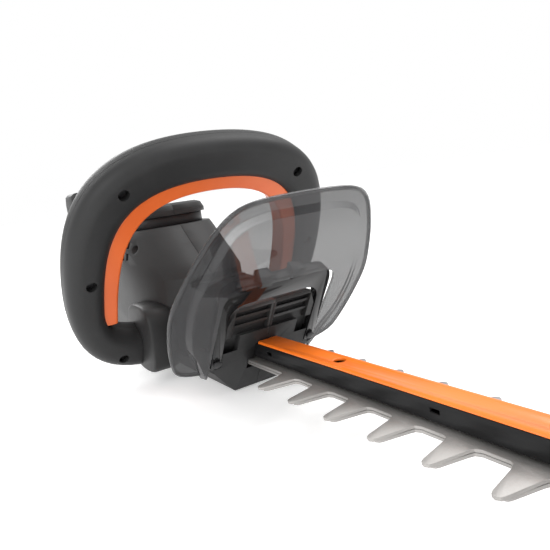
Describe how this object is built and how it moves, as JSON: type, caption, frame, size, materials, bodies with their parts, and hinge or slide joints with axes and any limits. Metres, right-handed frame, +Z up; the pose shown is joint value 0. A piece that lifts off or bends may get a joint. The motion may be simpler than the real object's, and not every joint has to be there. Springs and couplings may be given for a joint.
{
  "type": "hedge trimmer",
  "caption": "Cordless hedge trimmer with a double-sided reciprocating blade, see-through hand guard, loop front handle with a squeeze bar, and a slide-on battery.",
  "frame": {"origin": "on the flat underside of the body, on the centre plane, 60 mm behind the line where the rail leaves the body", "axes": "+X along the blade towards its tip, +Y to the user's left, +Z up"},
  "size_m": [0.9613, 0.228, 0.194],
  "materials": {
    "body_plastic": "dark grey moulded plastic with a fine satin texture",
    "black_plastic": "black moulded plastic",
    "orange_plastic": "orange moulded plastic, satin",
    "orange_cap": "bright orange plastic, smooth",
    "smoked_plastic": "smoked see-through polycarbonate",
    "frame_plastic": "glossy black plastic",
    "rail_black": "black coated steel, satin",
    "blade_steel": "ground and laser-cut spring steel",
    "black_screw": "steel screws with a black oxide finish",
    "bright_steel": "zinc plated steel",
    "cast_alloy": "die-cast alloy",
    "board": "green circuit board",
    "winding": "laminated core with copper windings"
  },
  "bodies": {
    "root": {"guide_rail": "rail_black", "rail_cap": "orange_cap", "tip_guard": "black_plastic", "motor_can": "bright_steel", "gear_case": "cast_alloy", "gear_case_cover": "cast_alloy", "sole_plate": "cast_alloy", "lower_bearing": "bright_steel", "upper_bearing": "bright_steel", "housing_right": "body_plastic", "housing_left": "body_plastic", "vent_band": "black_plastic", "top_cap_right": "body_plastic", "top_cap_left": "body_plastic", "control_board": "board", "bail_switch": "black_plastic", "trigger_switch": "black_plastic", "contact_block": "black_plastic", "trigger_pin": "bright_steel", "loop_handle_front": "body_plastic", "loop_handle_rear": "body_plastic", "collar_right": "body_plastic", "collar_left": "body_plastic", "guard_frame": "frame_plastic", "guard": "smoked_plastic", "blade_bolt_1": "bright_steel", "blade_nut_1": "bright_steel", "blade_bolt_2": "bright_steel", "blade_nut_2": "bright_steel", "blade_bolt_3": "bright_steel", "blade_nut_3": "bright_steel", "blade_bolt_4": "bright_steel", "blade_nut_4": "bright_steel", "housing_screw_1": "black_screw", "housing_screw_2": "black_screw", "housing_screw_3": "black_screw", "housing_screw_4": "black_screw", "housing_screw_5": "black_screw", "loop_screw_1": "black_screw", "loop_screw_2": "black_screw", "loop_screw_3": "black_screw", "loop_screw_4": "black_screw", "loop_screw_5": "black_screw", "loop_screw_6": "black_screw", "frame_screw_1": "black_screw", "frame_screw_2": "black_screw"},
    "upper_blade": {"upper_blade": "blade_steel"},
    "lower_blade": {"lower_blade": "blade_steel"},
    "crank": {"crank_shaft": "bright_steel", "drive_gear": "bright_steel"},
    "rotor": {"motor_armature": "winding", "motor_pinion": "bright_steel", "cooling_fan": "black_plastic"},
    "bail": {"safety_bail": "orange_plastic"},
    "trigger": {"trigger": "black_plastic"},
    "lock_button": {"lock_button": "orange_plastic"},
    "battery": {"battery_case": "black_plastic", "battery_base": "body_plastic", "cell_pack": "frame_plastic"},
    "battery_latch": {"battery_latch": "orange_plastic"}
  },
  "joints": [
    {"name": "upper_blade_stroke", "type": "slide", "parent": "root", "child": "upper_blade", "axis": [1, 0, 0], "range_m": [-0.006, 0.006]},
    {"name": "lower_blade_stroke", "type": "slide", "parent": "root", "child": "lower_blade", "axis": [1, 0, 0], "range_m": [-0.006, 0.006]},
    {"name": "crank_spin", "type": "hinge", "parent": "root", "child": "crank", "pos_m": [-0.0745, 0, 0.03], "axis": [0, 0, 1], "continuous": true},
    {"name": "rotor_spin", "type": "hinge", "parent": "root", "child": "rotor", "pos_m": [-0.112, 0, 0.06], "axis": [0, 0, 1], "continuous": true},
    {"name": "bail_squeeze", "type": "slide", "parent": "root", "child": "bail", "axis": [0.5, 0, 0.866], "range_m": [0, 0.004], "stiffness_N_per_m": 900, "springref_m": -0.006},
    {"name": "trigger_pull", "type": "hinge", "parent": "root", "child": "trigger", "pos_m": [-0.204, 0, 0.128], "axis": [0, 1, 0], "range_deg": [0, 12], "stiffness_Nm_per_rad": 0.5, "springref_deg": -8.59},
    {"name": "lock_press", "type": "slide", "parent": "root", "child": "lock_button", "axis": [0, 0, -1], "range_m": [0, 0.004], "stiffness_N_per_m": 300, "springref_m": -0.004},
    {"name": "battery_slide", "type": "slide", "parent": "root", "child": "battery", "axis": [0, 0, 1], "range_m": [0, 0.09]},
    {"name": "latch_press", "type": "slide", "parent": "battery", "child": "battery_latch", "axis": [0, 0, -1], "range_m": [0, 0.003], "stiffness_N_per_m": 400, "springref_m": -0.004}
  ],
  "couplings": [
    {"joint": "lower_blade_stroke", "follows": "upper_blade_stroke", "ratio": -1},
    {"joint": "rotor_spin", "follows": "crank_spin", "ratio": -4}
  ]
}
